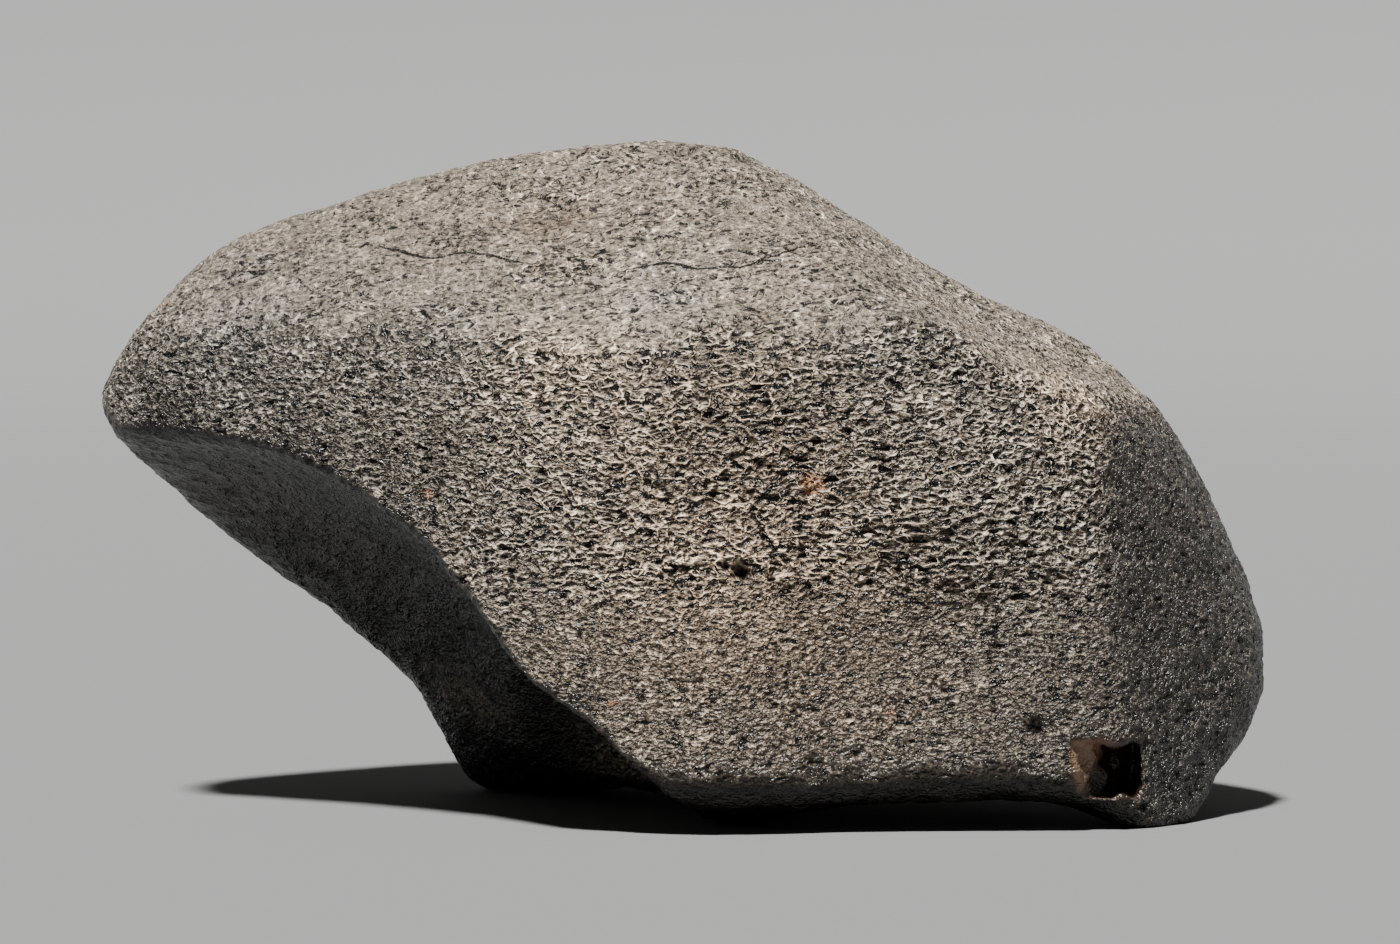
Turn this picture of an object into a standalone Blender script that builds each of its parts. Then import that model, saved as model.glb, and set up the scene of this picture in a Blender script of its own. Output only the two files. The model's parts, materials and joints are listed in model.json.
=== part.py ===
"""A chondrite meteorite: one stone under a dark melted crust, 110 mm long, resting on three worn spots.

Lengths are in millimetres until a mesh is made, and metres from there on. X runs along the stone, Y from its
front face to its back and Z up from what it rests on. The facets meet round the heart, a point inside the
stone, and each vertex of a sphere moves out from the heart until it reaches the stone's skin.
"""

import math

import bmesh
import bpy
import numpy as np
from mathutils import Vector

MM = 0.001
FAR_AWAY = 1000.0

HEART = (2.0, 0.0, 30.0)
MIDDLE = (-0.5, 1.0, 0.0)
SPHERE_SUBDIVISIONS = 7
SPHERE_STRETCH = (1.7, 1.0, 1.05)
EDGE_SHARPNESS = 26.0
WEAR_PASSES = 8
WEAR_FACTOR = 0.5
TRIANGLES = 9000

# Each facet is (bearing, rise, reach): the way it faces, in degrees round from the front towards the right
# and in degrees above level, and how far it lies from the heart.
FACETS = {
    "nose": (-88, 33, 53.6),
    "nose front": (-30, 1, 32.7),
    "left brow": (-24, 22, 31.4),
    "left shoulder": (-39, 53, 35.2),
    "crown left": (-27, 58, 28.8),
    "crown middle": (-10, 61.5, 26.2),
    "crown right": (-11, 61, 25.8),
    "crown edge left": (-90, 72.2, 37.6),
    "crown edge top": (90, 86, 33.7),
    "right slope": (66, 60.5, 27.5),
    "high right face": (14, 12, 33.2),
    "brow": (0, 38, 30.6),
    "high face": (-12, 16, 31.2),
    "face left": (-15, 8, 31.4),
    "face": (4, -2, 30.8),
    "lower face": (2, -5, 31.3),
    "chin front": (4, -38, 39.6),
    "jaw": (4, -58, 38.4),
    "right shoulder": (75, 26, 41.6),
    "right cheek": (52, 4, 43.2),
    "right heel": (43, -14, 51.5),
    "heel edge": (82, -33, 55.8),
    "nose underside": (-90, -42, 38.6),
    "left underside": (-84, -57, 29.8),
    "underside": (0, -90, 28.9),
    "right underside": (90, -86.5, 29.5),
    "back crown left": (-153, 44, 39.5),
    "back crown": (-173, 50, 34.8),
    "back crown right": (119, 46, 31.0),
    "back wall": (176, 4, 31.5),
    "back nose": (-135, 10, 47.0),
    "back right": (106, 22, 42.8),
    "back right corner": (142, 8, 38.5),
    "back right heel": (100, -17.5, 56.4),
    "back heel": (160, -48, 36.0),
    "back left underside": (-140, -42, 37.5),
}

# Each hollow is an ellipsoid taken out of the stone: its centre, its three radii and how softly its rim turns.
HOLLOWS = {
    "left hollow": ((-52.0, -18.0, -7.5), (43.5, 45.0, 43.5), 0.4),
    "throat": ((-22.0, -16.0, -8.0), (24.0, 22.0, 27.0), 0.4),
    "saddle": ((66.0, 5.0, 118.4), (80.0, 80.0, 80.0), 0.3),
    "back thumbprint": ((10.0, 53.5, 29.0), (29.0, 24.0, 19.0), 0.6),
    "back left thumbprint": ((-39.0, 51.0, 38.0), (18.0, 24.0, 20.0), 0.6),
    "back right thumbprint": ((56.0, 34.0, 40.0), (22.0, 22.0, 19.0), 0.6),
}

# Each swelling is a soft lump on the skin: its centre, its radius and how far it moves the skin.
SWELLINGS = {
    "lobe": ((45.5, -20.0, 4.0), 7.6, (0.4, 0.0, -7.6)),
    "rear foot": ((-17.5, 17.0, 3.0), 9.5, (-4.4, 0.0, -5.5)),
    "chin foot": ((5.0, -15.0, 1.0), 6.0, (0.0, 0.0, -2.0)),
    "face dent": ((7.0, -30.0, 30.0), 7.0, (0.0, 1.0, 0.0)),
    "chin bulge": ((3.0, -30.0, 16.5), 7.5, (0.0, -2.0, 0.0)),
    "chin bulge low": ((3.0, -30.0, 4.5), 8.0, (0.0, -2.0, 0.0)),
    "cheek bulge": ((24.0, -29.0, 29.0), 7.0, (0.3, -1.3, 0.0)),
    "right bump": ((33.5, -4.0, 45.6), 3.6, (0.2, 0.0, 0.4)),
    "right crest": ((37.0, 1.0, 42.0), 7.0, (0.3, 0.0, 0.8)),
    "crown dimple": ((-13.0, 0.0, 56.0), 5.5, (0.0, 0.4, -0.9)),
    "shoulder dimple": ((-10.5, -16.0, 48.5), 7.0, (0.0, 0.6, -0.8)),
}

# The chip at the foot of the right cheek: a wedge, as three corners in plan and its lowest and highest levels.
CHIP_CORNERS = ((34.9, -27.4), (41.6, -36.7), (41.0, -19.2))
CHIP_LEVELS = (3.2, 8.0)

# What the stone rests on wears it flat: all that reaches below level 0 in this rectangle goes.
GROUND_CORNERS = ((-80.0, -60.0), (80.0, -60.0), (80.0, 60.0), (-80.0, 60.0))
GROUND_LEVELS = (-20.0, 0.0)

CRUST_COLOUR = (0.088, 0.078, 0.070, 1.0)
CRUST_ROUGHNESS = 0.55


def facing(bearing, rise):
    """The unit vector that faces this way."""
    turn, lift = math.radians(bearing), math.radians(rise)
    level = math.cos(lift)
    return np.array([math.sin(turn) * level, -math.cos(turn) * level, math.sin(lift)])


def facet_reach(directions):
    """How far the faceted block reaches along each direction, its edges rounded."""
    share = np.zeros(len(directions))
    for bearing, rise, reach in FACETS.values():
        share += np.clip(directions @ facing(bearing, rise) / reach, 0, None) ** EDGE_SHARPNESS
    return share ** (-1 / EDGE_SHARPNESS)


def hollow_reach(directions, centre, radii):
    """How far each direction runs before it enters an ellipsoid, or a far distance where it misses."""
    start = (np.array(HEART) - centre) / radii
    steps = directions / radii
    a = (steps * steps).sum(1)
    b = steps @ start
    inside = b * b - a * (start @ start - 1)
    entry = (-b - np.sqrt(np.clip(inside, 0, None))) / a
    return np.where((inside > 0) & (entry > 0), entry, FAR_AWAY)


def softer_minimum(first, second, width):
    """The smaller of two lengths, turning smoothly from one to the other over the width."""
    gap = np.clip(1 - np.abs(first - second) / (4 * width), 0, 1)
    return np.minimum(first, second) - width * gap * gap


def skin(directions):
    """The points of the stone's skin along these directions from the heart."""
    reach = facet_reach(directions)
    for centre, radii, softness in HOLLOWS.values():
        reach = softer_minimum(reach, hollow_reach(directions, centre, np.array(radii)), softness)
    points = np.array(HEART) + directions * reach[:, None]
    moves = np.zeros_like(points)
    for centre, radius, move in SWELLINGS.values():
        away = np.linalg.norm(points - centre, axis=1) / radius
        moves += np.exp(-away * away)[:, None] * move
    return points + moves - np.array(MIDDLE)


def stone_mesh():
    """The stone's skin as a fine mesh."""
    sphere = bmesh.new()
    bmesh.ops.create_icosphere(sphere, subdivisions=SPHERE_SUBDIVISIONS, radius=1.0)
    directions = np.array([v.co for v in sphere.verts]) * SPHERE_STRETCH
    directions /= np.linalg.norm(directions, axis=1)[:, None]
    for vertex, point in zip(sphere.verts, skin(directions), strict=True):
        vertex.co = Vector(point * MM)
    mesh = bpy.data.meshes.new("meteorite")
    sphere.to_mesh(mesh)
    sphere.free()
    return mesh


def prism_mesh(name, corners, low, high):
    """A solid with these corners in plan, between two levels."""
    prism = bmesh.new()
    base = [prism.verts.new((x * MM, y * MM, low * MM)) for x, y in corners]
    floor = prism.faces.new(base)
    raised = bmesh.ops.extrude_face_region(prism, geom=[floor])["geom"]
    lifted = [item for item in raised if isinstance(item, bmesh.types.BMVert)]
    bmesh.ops.translate(prism, vec=(0, 0, (high - low) * MM), verts=lifted)
    bmesh.ops.recalc_face_normals(prism, faces=prism.faces)
    mesh = bpy.data.meshes.new(name)
    prism.to_mesh(mesh)
    prism.free()
    return mesh


def new_collection(name):
    collection = bpy.data.collections.new(name)
    bpy.context.scene.collection.children.link(collection)
    return collection


def cut(stone, cutters, name, corners, low, high):
    """Take a prism out of the stone."""
    cutter = bpy.data.objects.new(name, prism_mesh(name, corners, low, high))
    cutter.hide_render = True
    cutter.display_type = "WIRE"
    cutters.objects.link(cutter)
    boolean = stone.modifiers.new(name, "BOOLEAN")
    boolean.operation = "DIFFERENCE"
    boolean.solver = "EXACT"
    boolean.object = cutter


def crust():
    material = bpy.data.materials.new("fusion crust")
    material.use_nodes = True
    shader = material.node_tree.nodes["Principled BSDF"]
    shader.inputs["Base Color"].default_value = CRUST_COLOUR
    shader.inputs["Roughness"].default_value = CRUST_ROUGHNESS
    shader.inputs["Metallic"].default_value = 0.0
    return material


def main():
    for old in list(bpy.data.objects):
        bpy.data.objects.remove(old)
    stone = bpy.data.objects.new("meteorite", stone_mesh())
    stone.data.materials.append(crust())
    stone.data.shade_smooth()
    new_collection("Chondrite meteorite").objects.link(stone)

    wear = stone.modifiers.new("Worn edges", "SMOOTH")
    wear.iterations = WEAR_PASSES
    wear.factor = WEAR_FACTOR
    thin = stone.modifiers.new("Fewer faces", "DECIMATE")
    thin.ratio = TRIANGLES / len(stone.data.polygons)

    cutters = new_collection("Cutters")
    cut(stone, cutters, "chip", CHIP_CORNERS, *CHIP_LEVELS)
    cut(stone, cutters, "ground", GROUND_CORNERS, *GROUND_LEVELS)


main()
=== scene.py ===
"""The looks of the chondrite meteorite: its rippled fusion crust, pits, cracks and rust, and a plain studio.

The stone's skin is a fine copy of its CAD solid, which the coarse relief moves. The relief that is finer than
the mesh is in the material, which also colours the crust. Lengths are metres unless a comment says otherwise.
"""

import json
import math

import bmesh
import bpy
import numpy as np
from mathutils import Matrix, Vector
from mathutils.bvhtree import BVHTree

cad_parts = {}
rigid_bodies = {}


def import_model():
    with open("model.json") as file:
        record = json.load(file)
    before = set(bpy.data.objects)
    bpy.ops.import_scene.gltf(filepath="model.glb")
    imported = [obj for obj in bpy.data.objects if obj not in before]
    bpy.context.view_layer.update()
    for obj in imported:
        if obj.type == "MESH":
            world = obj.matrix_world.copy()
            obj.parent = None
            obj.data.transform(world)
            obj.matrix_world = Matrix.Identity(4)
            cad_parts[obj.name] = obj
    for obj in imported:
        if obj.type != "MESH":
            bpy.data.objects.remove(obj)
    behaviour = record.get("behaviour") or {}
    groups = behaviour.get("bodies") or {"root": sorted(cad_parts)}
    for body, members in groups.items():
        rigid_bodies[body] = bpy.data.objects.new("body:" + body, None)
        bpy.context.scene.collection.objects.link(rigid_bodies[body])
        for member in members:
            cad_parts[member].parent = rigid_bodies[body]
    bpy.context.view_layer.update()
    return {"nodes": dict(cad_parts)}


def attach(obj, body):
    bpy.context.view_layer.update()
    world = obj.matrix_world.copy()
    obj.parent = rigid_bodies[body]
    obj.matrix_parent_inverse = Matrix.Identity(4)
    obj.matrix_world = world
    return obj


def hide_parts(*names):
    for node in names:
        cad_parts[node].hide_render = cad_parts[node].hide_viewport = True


MM = 0.001

# The fine skin: the size of its cells, how far it is rounded, and how many faces it may keep.
VOXEL = 0.23 * MM
SKIN_PASSES = 14
SKIN_EASE = 0.5
FACES = 186000

# The photograph's camera: a long lens just above the stone, level with its middle.
CAMERA_PLACE = (0.0016, -0.472, 0.0446)
CAMERA_DOWN_DEGREES = 1.592
CAMERA_LENS_MM = 128.57
CAMERA_SENSOR_MM = 36.0
CAMERA_CLIP = (0.01, 50.0)
PHOTO_WIDTH, PHOTO_HEIGHT = 1400, 944

# The studio: the floor's edge, as its distance from the middle and its height, and the light.
FLOOR_EDGE = (
    (0.0, 0.0),
    (2.2, 0.0),
    (2.45, 0.03),
    (2.66, 0.11),
    (2.83, 0.25),
    (2.95, 0.44),
    (3.0, 0.7),
    (3.0, 1.6),
)
FLOOR_STEPS = 96
FLOOR_COLOUR = (0.19, 0.19, 0.188)
FLOOR_ROUGHNESS = 0.9
SKY_COLOUR = (1.0, 1.0, 1.0)
SKY_STRENGTH = 0.06
KEY_DIRECTION = (-0.16, -0.42, 0.89)
KEY_ENERGY = 9.5
KEY_ANGLE_DEGREES = 6

# The noises of the crust: the size of each one's shapes along X, Y and Z in millimetres, its detail, its
# roughness, and a shift that tells it from the others.
CLOUDS = {
    "drift": ((3.0, 3.0, 2.4), 1.0, 0.5, (0, 0, 0)),
    "swell": ((5.5, 5.0, 4.0), 2.0, 0.5, (0, 0, 0)),
    "chip": ((2.2, 2.2, 1.6), 2.0, 0.5, (0, 0, 0)),
    "rows": ((1.75, 1.6, 0.90), 0.6, 0.4, (5, 2, 9)),
    "loops": ((1.25, 1.2, 1.0), 0.4, 0.4, (31, 7, 3)),
    "nets": ((0.68, 0.66, 0.54), 0.0, 0.4, (3, 11, 17)),
    "scales": ((0.86, 0.84, 0.55), 0.6, 0.4, (2, 6, 8)),
    "gaps": ((1.3, 1.3, 1.0), 0.0, 0.5, (9, 4, 1)),
    "gashes": ((1.2, 1.1, 0.42), 0.8, 0.5, (0, 0, 0)),
    "flecks": ((0.50, 1.30, 0.42), 0.6, 0.5, (7, 1, 5)),
    "grains": ((0.32, 0.32, 0.25), 1.0, 0.5, (0, 0, 0)),
    "dust": ((0.16, 0.16, 0.14), 0.0, 0.5, (0, 0, 0)),
}
NOISE_MIDDLE = 0.5

# How wide a band the drift bends the crust's pattern over, along X, Y and Z in millimetres.
DRIFT = (0.7, 0.7, 0.4)

# The half widths of the coarse ridges and of the fine threads on them, in units of their noises.
RIDGE_WIDTH = 0.13
THREAD_WIDTHS = {"rows": 0.052, "loops": 0.0572, "nets": 0.0676}
SCALE_STEEPNESS = 2.0

# Where the other kinds of relief begin and where they are full, in units of their noises.
GASH_WALLS = (0.62, 0.71)
# The next range is where the painted shade in the sunk gashes begins and is full.
GASH_SHADE_RANGE = (0.62, 0.66)
GAP_RANGE = (0.40, 0.52)
GAP_SHARES = (0.35, 1.0)
GRAIN_RANGE = (0.34, 0.66)
FLECK_RANGE = (0.53, 0.66)
DOT_RANGE = (0.41, 0.31)
# The next range is where the painted highlight on the scales' crests begins and is full.
CREST_HIGHLIGHT_RANGE = (0.80, 0.97)

# How far each part of the relief raises the skin or sinks it, in millimetres. The spots are lengths already.
COARSE_HEIGHTS = {
    "rows": 0.22,
    "loops": 0.14,
    "gashes": -0.30,
    "swell": 1.0,
    "spots": 1.0,
    "chip": 2.2,
}
FINE_HEIGHTS = {
    "threads": 0.38,
    "scales": 0.46,
    "grains": 0.26,
    "dust": 0.04,
    "flecks": 0.20,
    "cracks": -0.20,
}

# How far the point is moved towards the key light, in millimetres, to paint the shadow that a thread casts
# and the shade on a slope turned from the light.
TOWARD_KEY = (-0.05, -0.12, 0.24)

# How much each part of the relief lightens the crust or darkens it, starting from its plain ground. The
# lighter threads and scale crests are painted highlights; the dark below each thread and in the gashes is
# painted shade, and slopes are painted darker turned from the key light and lighter facing it.
GROUND_LIGHT = 0.215
LIGHTS = {
    "threads": 0.42,
    "crests": 0.08,
    "painted_slope_shading": -0.75,
    "grains": 0.15,
    "dust": 0.15,
    "flecks": 0.24,
    "dots": -0.22,
    "painted_thread_shadow": -0.70,
    "gashes": -0.60,
    "cracks": -0.40,
}
CRUST_COLOURS = (
    (0.14, (0.006, 0.006, 0.006)),
    (0.34, (0.104, 0.087, 0.071)),
    (0.56, (0.272, 0.230, 0.190)),
    (0.82, (0.90, 0.80, 0.69)),
)
TINTS = ((0.0, (0.88, 0.98, 1.02)), (1.0, (1.20, 1.00, 0.78)))
CRUST_ROUGHNESS = 0.31
CRUST_SPECULAR = 0.45

# Where the stone's regions begin and where they are full: by how far the skin faces right or up, as a share
# of one, or by the place along an axis, in millimetres.
UNDER_FACING_UP = (-0.38, -0.62)
HOLLOW_FACING_UP = (-0.18, -0.42)
HOLLOW_X = (-5, -12)
CROWN_FACING_UP = (0.45, 0.95)
CROWN_WANDER = 0.15
RIGHT_FACING = (0.48, 0.78)
HIGH_Z = (31, 39)
LOW_Z = (25, 17)
LEFT_X = (-12, -26)
LOBE_X = (36, 41)
LOBE_Z = (11, 5)
CHEEK_X = (22, 40)
CHEEK_Z = (30, 12)
FREE_Z = (0.02, 1.2)
CROWN_FLECKS = 0.25

# How strong each kind of relief, and the tone with its painted light and shade, is outside a region and
# inside it.
SHARES = {
    "rows": (
        ("under", 1, 0.35),
        ("crown", 1, 0.50),
        ("low", 1, 0.25),
        ("left", 1, 0.60),
        ("high", 1, 0.55),
        ("right", 1, 0.40),
    ),
    "loops": (
        ("under", 1, 0.35),
        ("crown", 1, 0.50),
        ("high", 0.70, 1),
        ("left", 1, 0.50),
        ("low", 1, 0.25),
        ("right", 1, 0.50),
    ),
    "nets": (
        ("under", 1, 0.35),
        ("crown", 1, 0.50),
        ("left", 0.45, 0.70),
        ("low", 1, 0.70),
    ),
    "scales": (
        ("under", 1, 0.35),
        ("crown", 1, 0.28),
        ("left", 1, 0.50),
        ("low", 1, 0.35),
        ("right", 1, 0.30),
    ),
    "gashes": (
        ("under", 1, 0.35),
        ("crown", 1, 0.50),
        ("crown", 1, 0.40),
        ("low", 1, 0.45),
        ("right", 1, 0.45),
    ),
    "grains": (
        ("under", 1, 0.50),
        ("low or right", 0.60, 1),
    ),
    "flecks": (
        ("under", 1, 0.40),
        ("sides and crown", 0.30, 1),
    ),
    # The tone: painted shade underneath, on the right, on the lobe, on the cheek and on the left below the
    # crown, and painted light on the crown, with the crust's own slow drift of tone.
    "tone_and_painted_light": (
        ("drift", 1, 1.14),
        ("under", 1, 0.07),
        ("crown", 1, 1.75),
        ("right", 1, 0.26),
        ("lobe", 1, 0.55),
        ("cheek", 1, 0.58),
        ("left below the crown", 1, 0.78),
    ),
}

# Pits of the photograph: the pixel, and the radius and the depth in millimetres.
PITS = {
    "pit under the ledge": ((744, 572), 1.0, 0.9),
    "pit right of the ledge": ((772, 578), 0.8, 0.6),
    "pit below the ledge": ((784, 595), 0.9, 0.8),
    "pit at the left": ((612, 519), 0.8, 0.7),
    "pit at the right": ((806, 553), 0.7, 0.6),
    "pit of the low right": ((1038, 729), 1.0, 0.6),
    "pit near the lip": ((804, 711), 0.6, 0.4),
    "upper pit": ((664, 437), 0.7, 0.6),
    "crest notch": ((684, 152), 1.0, 1.0),
    "crest chip": ((748, 160), 1.3, 0.5),
    "right edge nick": ((1206, 500), 1.0, 0.4),
}
# How much darker a pit is painted for each millimetre of its depth: painted shade in the pit.
PIT_PAINTED_SHADE = 1.05

# Raised ledges, each along these pixels of the photograph, with their radius and height in millimetres.
LEDGES = {
    "ledge": ((662, 568), (700, 557), (742, 560), (766, 571)),
    "ledge right": ((900, 412), (930, 404), (962, 392)),
}
LEDGE_RADIUS = 0.6
LEDGE_HEIGHT = 0.45
# How much lighter a ledge is painted along its top: a painted highlight.
LEDGE_PAINTED_HIGHLIGHT = 0.7

# Fine cracks, each along these pixels of the photograph. A crack is full at the first half width and gone at
# the second, in millimetres. Its distance is kept up to the reach, and starts from farther away than that.
CRACKS = {
    "middle crack": ((798, 462), (766, 494), (750, 511), (771, 546), (790, 566)),
    "crack of the left shoulder": ((392, 250), (430, 258), (470, 253), (520, 262)),
    "crack below the crown": ((640, 268), (664, 262), (700, 270), (748, 266), (792, 252)),
    "crack of the hollow": ((450, 617), (468, 650), (489, 686)),
    "crack of the heel": ((1214, 742), (1222, 722), (1232, 700)),
}
CRACK_HALF_WIDTHS = (0.052, 0.26)
CRACK_REACH = 3.0
CRACK_START = 9.0
FAR_AWAY = 1e6

# The chip at the foot of the right cheek, in millimetres: a wedge's corners in plan, its lowest and highest
# levels, and where its mark begins and is full, outside the wedge. The painted shadow at its back begins and
# is full at these places along X on its floor, and farther along above it.
CHIP_CORNERS = ((34.9, -27.4), (41.6, -36.7), (41.0, -19.2))
CHIP_LEVELS = (3.2, 8.0)
CHIP_EDGE = (-0.55, -0.15)
CHIP_SHADOW_FROM = (34.6, 36.6)
CHIP_SHADOW_SLANT = 0.5
CHIP_PAINTED_SHADOW = 0.93
CHIP_RELIEF = 0.15
CHIP_COLOUR = (0.20, 0.125, 0.085)

# Rust spots: the pixel, the radius in millimetres and how strongly they colour the crust.
RUST = {
    "nose": ((160, 298), 0.7, 1.0),
    "crown": ((740, 155), 0.5, 0.8),
    "below the crown": ((662, 200), 0.7, 0.5),
    "middle": ((814, 483), 1.1, 1.0),
    "middle left": ((653, 499), 0.4, 0.6),
    "low right": ((890, 715), 0.6, 1.0),
    "low middle": ((839, 668), 0.4, 0.6),
    "low left": ((660, 651), 0.9, 0.5),
    "lip": ((614, 703), 0.8, 0.6),
    "left": ((430, 495), 0.7, 0.6),
    "shoulder": ((408, 222), 0.5, 0.5),
}
RUST_BETWEEN_GRAINS = 0.35
RUST_RANGE = (0.25, 0.70)
RUST_COVER = 0.85
RUST_COLOUR = (0.42, 0.19, 0.09)

# Lighter and darker patches of the crust: the pixel, the radius in millimetres, how much lighter the crust is
# there, and how much warmer. The darker rims and edges under the nose, the hollow, the shoulder, the foot and
# the chin are painted shade where the stone turns under, the darker, browner dent of the crown is partly a
# painted shadow in it, and the cool lighter bands of the brow and left of the brow are a painted sheen.
PATCHES = {
    "right shoulder": ((1078, 395), 5.0, 0.75, 0.7),
    "upper middle": ((560, 365), 7.0, 0.48, 0.4),
    "band of the brow": ((655, 300), 7.0, 0.20, -0.6),
    "left of the brow": ((440, 330), 8.0, 0.12, -0.4),
    "nose": ((230, 330), 12.0, 0.06, -0.6),
    "dent of the crown": ((552, 224), 4.0, -0.42, 0.5),
    "below the crown": ((585, 300), 4.0, -0.15, 0.0),
    "above the cheek": ((780, 430), 8.0, -0.30, 0.2),
    "left above the cheek": ((690, 430), 5.0, -0.20, 0.2),
    "middle": ((740, 570), 15.0, 0.22, 0.8),
    "low middle": ((860, 690), 12.0, -0.12, 0.2),
    "right of the middle": ((940, 590), 6.0, -0.25, 0.2),
    "upper right": ((880, 330), 7.0, -0.10, -0.3),
    "edge of the nose": ((160, 410), 5.0, -0.35, 0.0),
    "edge of the shoulder": ((400, 480), 5.0, -0.40, 0.0),
    "edge of the chin": ((560, 680), 5.0, -0.20, 0.1),
    "rim under the nose": ((190, 440), 4.0, -0.70, 0.0),
    "rim of the hollow": ((300, 462), 4.5, -0.75, 0.0),
    "rim of the shoulder": ((385, 515), 4.5, -0.75, 0.0),
    "rim above the foot": ((440, 590), 4.5, -0.75, 0.0),
    "lumps of the hollow": ((235, 540), 5.0, 1.30, 0.9),
    "low lumps of the hollow": ((320, 620), 5.0, 0.80, 0.9),
}


def add_node(tree, kind, *inputs, **settings):
    """A new node with these settings, its inputs linked from sockets or set to values, in their order."""
    node = tree.nodes.new(kind)
    for name, value in settings.items():
        setattr(node, name, value)
    for socket, value in zip(node.inputs, inputs):
        if isinstance(value, bpy.types.NodeSocket):
            tree.links.new(value, socket)
        else:
            socket.default_value = value
    return node


def math_node(tree, operation, *inputs):
    """What this operation makes of numbers."""
    return add_node(tree, "ShaderNodeMath", *inputs, operation=operation).outputs[0]


def vector_node(tree, operation, *inputs):
    """What this operation makes of vectors."""
    return add_node(tree, "ShaderNodeVectorMath", *inputs, operation=operation).outputs[0]


def times(tree, first, second):
    """The product of two numbers."""
    return math_node(tree, "MULTIPLY", first, second)


def scaled(tree, vector, factor):
    """The vector or colour, this many times as long or as bright."""
    node = add_node(tree, "ShaderNodeVectorMath", vector, operation="SCALE")
    tree.links.new(factor, node.inputs["Scale"])
    return node.outputs[0]


def weighed(tree, parts, weights, base=0.0):
    """The base plus each part that has a weight, times that weight."""
    total = base
    for name, weight in weights.items():
        total = math_node(tree, "MULTIPLY_ADD", parts[name], weight, total)
    return total


def ramp(tree, value, span, results=(0.0, 1.0)):
    """The value taken from its span to the results, with a smooth start and end."""
    inputs = (value, *span, *results)
    return add_node(tree, "ShaderNodeMapRange", *inputs, interpolation_type="SMOOTHSTEP").outputs[0]


def colour_ramp(tree, value, stops):
    """The colour that the value has on a ramp through these stops, each a value and a colour."""
    node = add_node(tree, "ShaderNodeValToRGB", value)
    elements = node.color_ramp.elements
    elements.remove(elements[1])
    elements[0].position = stops[0][0]
    elements[0].color = (*stops[0][1], 1)
    for position, colour in stops[1:]:
        elements.new(position).color = (*colour, 1)
    return node.outputs[0]


def mixed(tree, share, first, colour):
    """The first colour, turning into the other as the share goes from 0 to 1."""
    node = add_node(tree, "ShaderNodeMix", share, data_type="RGBA")
    tree.links.new(first, node.inputs[6])
    node.inputs[7].default_value = (*colour, 1)
    return node.outputs[2]


def kept(tree, name, vector=False):
    """What is kept under this name on the stone's vertices: a number or a vector."""
    if tree.bl_idname == "GeometryNodeTree":
        node = tree.nodes.new("GeometryNodeInputNamedAttribute")
        node.data_type = "FLOAT_VECTOR" if vector else "FLOAT"
        node.inputs["Name"].default_value = name
        return node.outputs["Attribute"]
    node = tree.nodes.new("ShaderNodeAttribute")
    node.attribute_name = name
    return node.outputs["Vector" if vector else "Fac"]


def cloud(tree, point, name):
    """The noise node of one of the crust's clouds."""
    size, detail, roughness, shift = CLOUDS[name]
    node = tree.nodes.new("ShaderNodeTexNoise")
    place = vector_node(tree, "ADD", vector_node(tree, "DIVIDE", point, size), shift)
    tree.links.new(place, node.inputs["Vector"])
    node.inputs["Scale"].default_value = 1.0
    node.inputs["Detail"].default_value = detail
    node.inputs["Roughness"].default_value = roughness
    return node


def centred_cloud(tree, point, name):
    """A cloud's number, with its middle moved to 0."""
    return math_node(tree, "SUBTRACT", cloud(tree, point, name).outputs[0], NOISE_MIDDLE)


def line_field(tree, point, name):
    """How far a place is from the wandering level lines of a cloud, in units of its noise."""
    return math_node(tree, "ABSOLUTE", centred_cloud(tree, point, name))


def scale_field(tree, point):
    """The crust's small scales, sharp at their crests."""
    return math_node(tree, "MULTIPLY_ADD", line_field(tree, point, "scales"), -SCALE_STEEPNESS, 1.0)


def thread_field(tree, point):
    """The crust's thin raised threads: rows, loops and a finer net between them."""
    threads = 0.0
    for name, width in THREAD_WIDTHS.items():
        thread = ramp(tree, line_field(tree, point, name), (0.0, width), (1.0, 0.0))
        threads = math_node(tree, "MAXIMUM", threads, times(tree, thread, kept(tree, name)))
    return threads


def coarse_parts(tree, point, bent):
    """The coarse relief, part by part: swell and lumps go by the place, the rest by the bent pattern."""
    parts = {"swell": centred_cloud(tree, point, "swell"), "spots": kept(tree, "spots")}
    parts["chip"] = times(tree, centred_cloud(tree, point, "chip"), kept(tree, "chip"))
    for name in ("rows", "loops"):
        ridge = ramp(tree, line_field(tree, bent, name), (0.0, RIDGE_WIDTH), (1.0, 0.0))
        parts[name] = times(tree, ridge, kept(tree, name))
    gash = ramp(tree, cloud(tree, bent, "gashes").outputs[0], GASH_WALLS)
    parts["gashes"] = times(tree, gash, kept(tree, "gashes"))
    return parts


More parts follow.
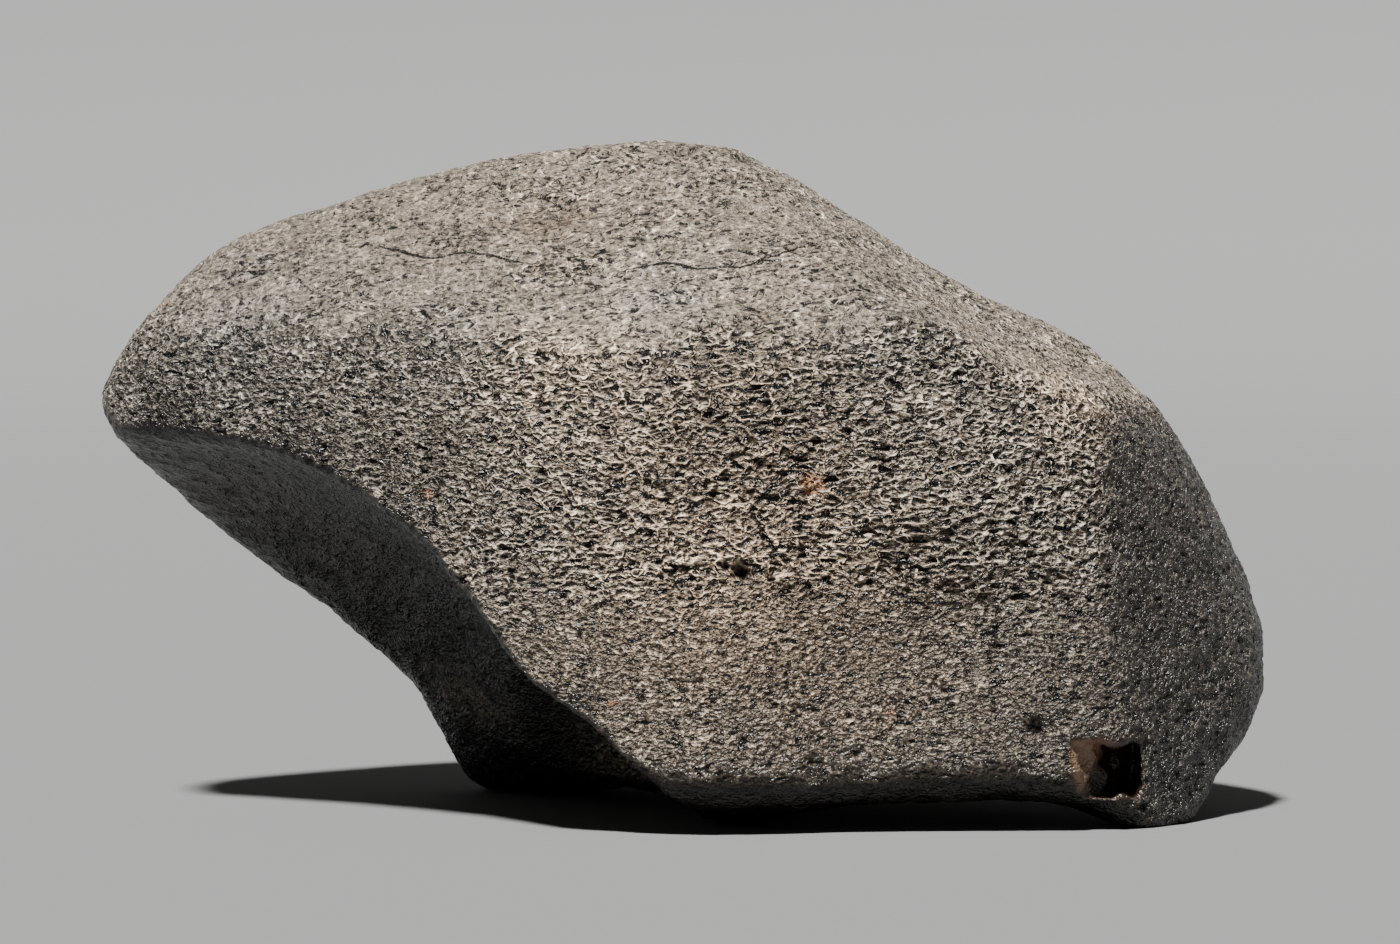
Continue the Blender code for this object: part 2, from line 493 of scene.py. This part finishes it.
def relief_group():
    """Geometry nodes that move the skin by the coarse relief and keep the bent pattern for the material."""
    tree = bpy.data.node_groups.new("Crust relief", "GeometryNodeTree")
    tree.interface.new_socket("Geometry", in_out="INPUT", socket_type="NodeSocketGeometry")
    tree.interface.new_socket("Geometry", in_out="OUTPUT", socket_type="NodeSocketGeometry")
    start = tree.nodes.new("NodeGroupInput")
    end = tree.nodes.new("NodeGroupOutput")

    point = kept(tree, "place", vector=True)
    drift = vector_node(tree, "SUBTRACT", cloud(tree, point, "drift").outputs[1], (NOISE_MIDDLE,) * 3)
    bent = vector_node(tree, "ADD", point, vector_node(tree, "MULTIPLY", drift, DRIFT))
    height = weighed(tree, coarse_parts(tree, point, bent), COARSE_HEIGHTS)
    height = times(tree, height, kept(tree, "free"))

    store = tree.nodes.new("GeometryNodeStoreNamedAttribute")
    store.data_type = "FLOAT_VECTOR"
    store.inputs["Name"].default_value = "bent"
    tree.links.new(start.outputs[0], store.inputs["Geometry"])
    tree.links.new(bent, store.inputs["Value"])
    normal = tree.nodes.new("GeometryNodeInputNormal").outputs[0]
    move = tree.nodes.new("GeometryNodeSetPosition")
    tree.links.new(store.outputs[0], move.inputs["Geometry"])
    tree.links.new(scaled(tree, normal, times(tree, height, MM)), move.inputs["Offset"])
    tree.links.new(move.outputs[0], end.inputs[0])
    return tree


def fine_parts(tree, bent):
    """The fine relief and what colours it, part by part."""
    # The point moved towards the key light: a thread there paints a shadow here, and a scale that rises there
    # paints shade on this slope.
    toward_key = vector_node(tree, "ADD", bent, TOWARD_KEY)
    gap = ramp(tree, cloud(tree, bent, "gaps").outputs[0], GAP_RANGE, GAP_SHARES)
    threads = times(tree, thread_field(tree, bent), gap)
    threads_toward_key = times(tree, thread_field(tree, toward_key), gap)
    scale = scale_field(tree, bent)
    # Painted shade and light: how much a scale rises towards the key light from here.
    slope = math_node(tree, "SUBTRACT", scale_field(tree, toward_key), scale)
    grain = ramp(tree, cloud(tree, bent, "grains").outputs[0], GRAIN_RANGE)
    fleck = cloud(tree, bent, "flecks").outputs[0]
    gash = ramp(tree, cloud(tree, bent, "gashes").outputs[0], GASH_SHADE_RANGE)
    crack = math_node(tree, "ABSOLUTE", kept(tree, "crack"))
    return {
        "threads": threads,
        "painted_thread_shadow": math_node(tree, "MAXIMUM", math_node(tree, "SUBTRACT", threads_toward_key, threads), 0.0),
        "scales": times(tree, scale, kept(tree, "scales")),
        "crests": times(tree, ramp(tree, scale, CREST_HIGHLIGHT_RANGE), kept(tree, "scales")),
        "painted_slope_shading": times(tree, slope, kept(tree, "scales")),
        "all grains": grain,
        "grains": times(tree, grain, kept(tree, "grains")),
        "dust": cloud(tree, bent, "dust").outputs[0],
        "flecks": times(tree, ramp(tree, fleck, FLECK_RANGE), kept(tree, "flecks")),
        "dots": times(tree, ramp(tree, fleck, DOT_RANGE), kept(tree, "flecks")),
        "gashes": times(tree, gash, kept(tree, "gashes")),
        "cracks": ramp(tree, crack, CRACK_HALF_WIDTHS, (1.0, 0.0)),
    }


def crust_material():
    """The crust: lighter on its grains, with painted highlights on its threads and a painted shadow below
    them, dark in its cracks, specked with rust.
    """
    material = bpy.data.materials.new("fusion_crust")
    material.use_nodes = True
    tree = material.node_tree
    shader = tree.nodes["Principled BSDF"]
    shader.inputs["Roughness"].default_value = CRUST_ROUGHNESS
    shader.inputs["Specular IOR Level"].default_value = CRUST_SPECULAR
    parts = fine_parts(tree, kept(tree, "bent", vector=True))

    bump = tree.nodes.new("ShaderNodeBump")
    bump.inputs["Strength"].default_value = 1.0
    bump.inputs["Distance"].default_value = MM
    tree.links.new(weighed(tree, parts, FINE_HEIGHTS), bump.inputs["Height"])
    tree.links.new(bump.outputs[0], shader.inputs["Normal"])

    crust = colour_ramp(tree, weighed(tree, parts, LIGHTS, GROUND_LIGHT), CRUST_COLOURS)
    crust = mixed(tree, kept(tree, "chip"), crust, CHIP_COLOUR)
    warm = add_node(tree, "ShaderNodeMapRange", kept(tree, "warm"), -1.0, 1.0, 0.0, 1.0).outputs[0]
    tinted = vector_node(tree, "MULTIPLY", crust, colour_ramp(tree, warm, TINTS))
    toned_and_shaded = scaled(tree, tinted, kept(tree, "tone_and_painted_light"))
    grains = math_node(tree, "ADD", parts["all grains"], RUST_BETWEEN_GRAINS)
    rust = ramp(tree, times(tree, kept(tree, "rust"), grains), RUST_RANGE, (0.0, RUST_COVER))
    tree.links.new(mixed(tree, rust, toned_and_shaded, RUST_COLOUR), shader.inputs["Base Color"])
    return material


def smooth_step(values, low, high):
    """0 at the low end, 1 at the high end and smooth between them; the ends may also be in falling order."""
    share = np.clip((values - low) / (high - low), 0, 1)
    return share * share * (3 - 2 * share)


def bump_at(points, centre, radius):
    """1 at the centre, falling softly to 0 about two radii away."""
    away = ((points - centre) ** 2).sum(1) / radius ** 2
    return np.exp(-away)


def across_line(points, corners):
    """Each point's distance to a line through these corners, and the same with a sign for the side."""
    nearest = np.full(len(points), FAR_AWAY)
    sided = np.full(len(points), FAR_AWAY)
    for start, end in zip(corners[:-1], corners[1:]):
        along = end - start
        share = np.clip((points - start) @ along / (along @ along), 0, 1)
        gap = points - start - share[:, None] * along
        length = np.linalg.norm(gap, axis=1)
        side = np.sign(gap @ np.cross(along, (0, 1, 0)))
        closer = length < nearest
        nearest[closer] = length[closer]
        sided[closer] = (length * side)[closer]
    return nearest, sided


class Photograph:
    """Finds where a pixel of the photograph lies on the stone, in millimetres."""

    def __init__(self, mesh):
        corners = [vertex.co for vertex in mesh.vertices]
        self.tree = BVHTree.FromPolygons(corners, [face.vertices for face in mesh.polygons])
        self.middle = (PHOTO_WIDTH / 2, PHOTO_HEIGHT / 2)
        self.pixels = CAMERA_LENS_MM / CAMERA_SENSOR_MM * PHOTO_WIDTH
        down = math.radians(CAMERA_DOWN_DEGREES)
        self.ahead = Vector((0, math.cos(down), -math.sin(down)))
        self.up = Vector((0, math.sin(down), math.cos(down)))

    def place(self, pixel):
        """Where the pixel's ray meets the stone, or the stone's nearest place where it misses."""
        across = (pixel[0] - self.middle[0]) / self.pixels
        rise = (self.middle[1] - pixel[1]) / self.pixels
        ray = (self.ahead + Vector((across, 0, 0)) + self.up * rise).normalized()
        start = Vector(CAMERA_PLACE)
        hit = self.tree.ray_cast(start, ray)[0]
        if hit is None:
            near = start + ray * start.length
            hit = self.tree.find_nearest(near)[0]
        return np.array(hit) / MM


def find_regions(points, normals):
    """How far each point belongs to each region of the stone, from 0 to 1, and a slow drift from -1 to 1."""
    x, y, z = points.T
    to_right, up = normals[:, 0], normals[:, 2]
    hollow = smooth_step(up, *HOLLOW_FACING_UP) * smooth_step(x, *HOLLOW_X)
    under = np.maximum(smooth_step(up, *UNDER_FACING_UP), hollow)
    wander = np.sin(x * 0.33 + 1.3 * np.sin(z * 0.21)) * np.sin(z * 0.41 + y * 0.27)
    crown = smooth_step(up + CROWN_WANDER * wander, *CROWN_FACING_UP)
    right = smooth_step(to_right, *RIGHT_FACING) * (1 - crown)
    low = smooth_step(z, *LOW_Z) * (1 - under) * (1 - right)
    left = smooth_step(x, *LEFT_X) * (1 - under)
    sides_and_crown = np.maximum.reduce([low, left, right, crown])
    return {
        "under": under,
        "crown": crown,
        "right": right,
        "low": low,
        "left": left,
        "high": smooth_step(z, *HIGH_Z) * (1 - right),
        "lobe": smooth_step(x, *LOBE_X) * smooth_step(z, *LOBE_Z),
        "cheek": smooth_step(x, *CHEEK_X) * smooth_step(z, *CHEEK_Z) * (1 - right),
        "low or right": np.maximum(low, right),
        "left below the crown": left * (1 - crown),
        "sides and crown": sides_and_crown * (1 - (1 - CROWN_FLECKS) * crown),
        "drift": np.sin(x * 0.61 + 2 * np.sin(z * 0.37)) * np.sin(z * 0.83 + 2 * np.sin(x * 0.29 + y * 0.4)),
    }


def strength(regions, shares):
    """The product, at each point, of what these shares are there."""
    product = 1.0
    for name, outside, inside in shares:
        product = product * (outside + (inside - outside) * regions[name])
    return product


def inside_chip(points):
    """One inside the chip at the foot of the right cheek, falling to nothing just outside it."""
    depth = np.minimum(points[:, 2] - CHIP_LEVELS[0], CHIP_LEVELS[1] - points[:, 2])
    for start, end in zip(CHIP_CORNERS, CHIP_CORNERS[1:] + CHIP_CORNERS[:1]):
        along = np.subtract(end, start)
        across = np.array((-along[1], along[0])) / np.hypot(*along)
        depth = np.minimum(depth, (points[:, :2] - start) @ across)
    return smooth_step(depth, *CHIP_EDGE)


def add_chip(points, marks):
    """Marks the chip: broken stone with little of the crust's relief, and a painted shadow at its back."""
    x, z = points[:, 0], points[:, 2]
    chip = inside_chip(points)
    shadowed_back = smooth_step(x - CHIP_SHADOW_SLANT * (z - CHIP_LEVELS[0]), *CHIP_SHADOW_FROM)
    for name in SHARES:
        if name != "tone_and_painted_light":
            marks[name] *= 1 - (1 - CHIP_RELIEF) * chip
    marks["tone_and_painted_light"] = marks["tone_and_painted_light"] * (1 - chip) + chip * (1 - CHIP_PAINTED_SHADOW * chip * shadowed_back)
    marks["chip"] = chip


def add_spots(points, photo, marks):
    """Marks the pits and ledges, with painted shade in the pits and a painted highlight along the ledges, the
    rust, the patches and the cracks.
    """
    spots = np.zeros(len(points))
    for pixel, radius, depth in PITS.values():
        share = bump_at(points, photo.place(pixel), radius)
        spots -= depth * share
        marks["tone_and_painted_light"] *= 1 - min(1.0, PIT_PAINTED_SHADE * depth) * share
    for line in LEDGES.values():
        away = across_line(points, [photo.place(pixel) for pixel in line])[0]
        share = np.exp(-(away / LEDGE_RADIUS) ** 2)
        spots += LEDGE_HEIGHT * share
        marks["tone_and_painted_light"] *= 1 + LEDGE_PAINTED_HIGHLIGHT * share
    marks["spots"] = spots

    rust = np.zeros(len(points))
    for pixel, radius, colouring in RUST.values():
        rust = np.maximum(rust, colouring * bump_at(points, photo.place(pixel), radius))
    marks["rust"] = rust

    warm = np.zeros(len(points))
    for pixel, radius, lighter, warmer in PATCHES.values():
        share = bump_at(points, photo.place(pixel), radius)
        marks["tone_and_painted_light"] *= 1 + lighter * share
        warm += warmer * share
    marks["warm"] = warm

    crack = np.full(len(points), CRACK_START)
    for line in CRACKS.values():
        away, sided = across_line(points, [photo.place(pixel) for pixel in line])
        crack = np.where(away < np.abs(crack), sided, crack)
    marks["crack"] = np.clip(crack, -CRACK_REACH, CRACK_REACH)


def vertex_array(mesh, name):
    """The places or the normals of the mesh's vertices."""
    values = np.zeros(len(mesh.vertices) * 3, np.float32)
    mesh.vertices.foreach_get(name, values)
    return values.reshape(-1, 3).astype(float)


def mark_skin(mesh, photo):
    """Keeps on each vertex where it is, which relief it takes, its tone with painted light and shade, rust
    and cracks.
    """
    points = vertex_array(mesh, "co") / MM
    regions = find_regions(points, vertex_array(mesh, "normal"))
    marks = {name: strength(regions, shares) for name, shares in SHARES.items()}
    marks["free"] = smooth_step(points[:, 2], *FREE_Z)
    add_spots(points, photo, marks)
    add_chip(points, marks)
    for name, values in marks.items():
        attribute = mesh.attributes.new(name, "FLOAT", "POINT")
        attribute.data.foreach_set("value", values.astype(np.float32))
    place = mesh.attributes.new("place", "FLOAT_VECTOR", "POINT")
    place.data.foreach_set("vector", points.astype(np.float32).ravel())


def applied(obj, name):
    """A new mesh object holding what the object looks like with its modifiers."""
    graph = bpy.context.evaluated_depsgraph_get()
    changed = obj.evaluated_get(graph)
    mesh = bpy.data.meshes.new_from_object(changed, preserve_all_data_layers=True, depsgraph=graph)
    made = bpy.data.objects.new(name, mesh)
    bpy.context.scene.collection.objects.link(made)
    return made


def fine_skin(solid):
    """The CAD solid's skin, cut finely and evenly, with its facets rounded together."""
    rough = bpy.data.objects.new("skin", solid.data.copy())
    bpy.context.scene.collection.objects.link(rough)
    rough.data.materials.clear()
    remesh = rough.modifiers.new("Even", "REMESH")
    remesh.mode = "VOXEL"
    remesh.voxel_size = VOXEL
    smooth = rough.modifiers.new("Rounded", "SMOOTH")
    smooth.iterations = SKIN_PASSES
    smooth.factor = SKIN_EASE
    skin = applied(rough, "skin_fine")
    bpy.data.objects.remove(rough)
    return skin


def dressed(skin):
    """The marked skin with its coarse relief, thinned to the faces it may have, in its crust."""
    relief = skin.modifiers.new("Relief", "NODES")
    relief.node_group = relief_group()
    fewer = skin.modifiers.new("Fewer faces", "DECIMATE")
    skin_triangles = len(skin.data.polygons) * 2
    fewer.ratio = FACES / skin_triangles
    stone = applied(skin, "meteorite_crust")
    bpy.data.objects.remove(skin)
    stone.data.materials.clear()
    stone.data.materials.append(crust_material())
    stone.data.shade_smooth()
    return stone


def studio():
    """A pale round floor that turns up into a backdrop, a key light from above the front and a weak sky."""
    edge = bmesh.new()
    corners = [edge.verts.new((x, 0, z)) for x, z in FLOOR_EDGE]
    for first, second in zip(corners[:-1], corners[1:]):
        edge.edges.new((first, second))
    floor_mesh = bpy.data.meshes.new("floor")
    edge.to_mesh(floor_mesh)
    edge.free()
    floor = bpy.data.objects.new("floor", floor_mesh)
    bpy.context.scene.collection.objects.link(floor)
    turn = floor.modifiers.new("Turned", "SCREW")
    turn.steps = FLOOR_STEPS
    turn.render_steps = FLOOR_STEPS
    turn.use_merge_vertices = True
    turn.use_smooth_shade = True
    pale = bpy.data.materials.new("floor")
    pale.use_nodes = True
    shader = pale.node_tree.nodes["Principled BSDF"]
    shader.inputs["Base Color"].default_value = (*FLOOR_COLOUR, 1)
    shader.inputs["Roughness"].default_value = FLOOR_ROUGHNESS
    floor_mesh.materials.append(pale)

    world = bpy.data.worlds.new("studio")
    bpy.context.scene.world = world
    world.use_nodes = True
    sky = world.node_tree.nodes["Background"]
    sky.inputs["Color"].default_value = (*SKY_COLOUR, 1)
    sky.inputs["Strength"].default_value = SKY_STRENGTH

    key = bpy.data.lights.new("key", "SUN")
    key.energy = KEY_ENERGY
    key.angle = math.radians(KEY_ANGLE_DEGREES)
    light = bpy.data.objects.new("key", key)
    light.rotation_euler = Vector(KEY_DIRECTION).to_track_quat("Z", "Y").to_euler()
    bpy.context.scene.collection.objects.link(light)


def camera():
    """The photograph's camera."""
    data = bpy.data.cameras.new("camera")
    data.lens = CAMERA_LENS_MM
    data.sensor_width = CAMERA_SENSOR_MM
    data.clip_start, data.clip_end = CAMERA_CLIP
    view = bpy.data.objects.new("camera", data)
    view.location = CAMERA_PLACE
    view.rotation_euler = (math.radians(90 - CAMERA_DOWN_DEGREES), 0, 0)
    bpy.context.scene.collection.objects.link(view)
    bpy.context.scene.camera = view


def main():
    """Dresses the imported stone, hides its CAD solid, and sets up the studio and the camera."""
    for old in list(bpy.data.objects):
        bpy.data.objects.remove(old)
    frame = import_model()
    solid = frame["nodes"]["meteorite"]
    skin = fine_skin(solid)
    mark_skin(skin.data, Photograph(solid.data))
    stone = dressed(skin)
    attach(stone, "root")
    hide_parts("meteorite")
    studio()
    camera()


main()
